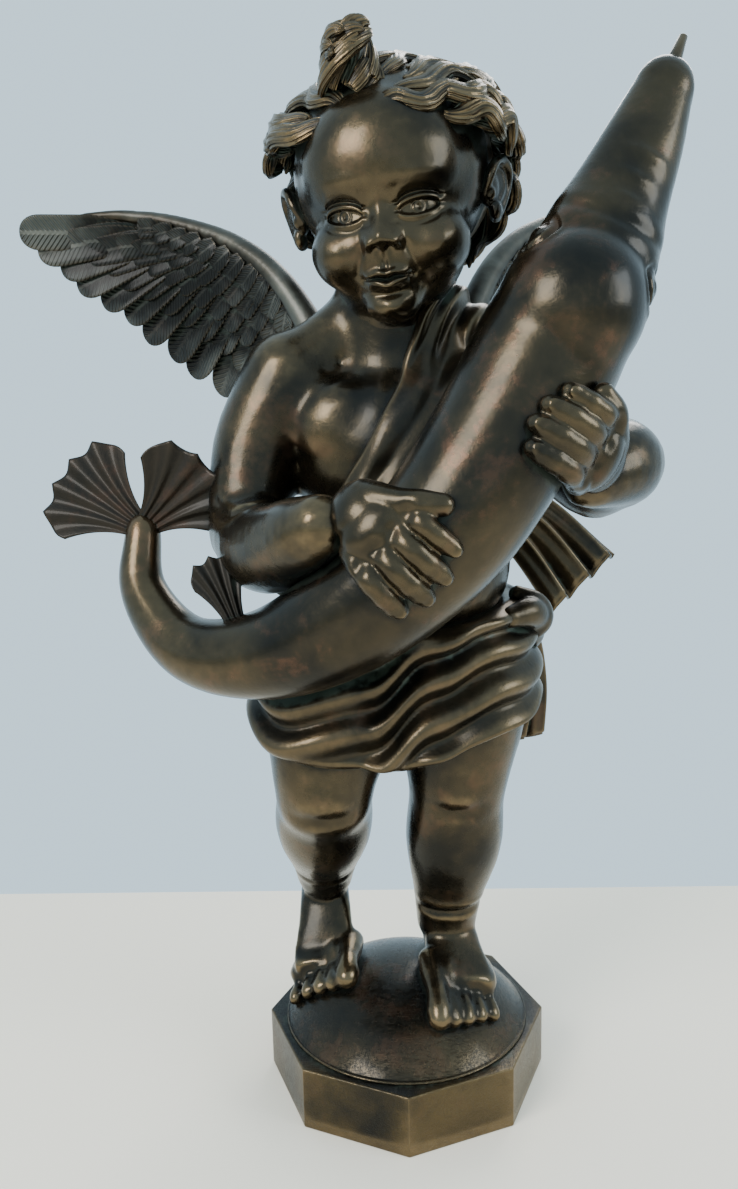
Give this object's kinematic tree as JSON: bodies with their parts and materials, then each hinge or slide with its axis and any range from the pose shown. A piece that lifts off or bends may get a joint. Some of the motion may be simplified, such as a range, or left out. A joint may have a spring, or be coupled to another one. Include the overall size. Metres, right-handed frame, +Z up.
{
  "type": "putto with dolphin statue",
  "caption": "Standing bronze statue of a winged child hugging a dolphin, on a dome and an octagonal plinth, with a small fountain nozzle in the dolphin's snout.",
  "frame": {"origin": "centre of the plinth's underside", "axes": "+Z up; -Y is the front of the statue and of the child; +X towards the child's left hand and the dolphin's snout"},
  "size_m": [0.4768, 0.3434, 0.6836],
  "materials": {
    "figure_bronze": "cast bronze with a dark brown polished patina, rubbed golden on the high places and green in the hollows",
    "plinth_bronze": "cast bronze with an olive brown patina, finely scratched, with worn bright edges",
    "nozzle_bronze": "turned bronze, brown and slightly worn"
  },
  "bodies": {
    "root": {"putto_with_dolphin": "figure_bronze", "octagonal_plinth": "plinth_bronze", "fountain_nozzle": "nozzle_bronze"}
  },
  "joints": []
}
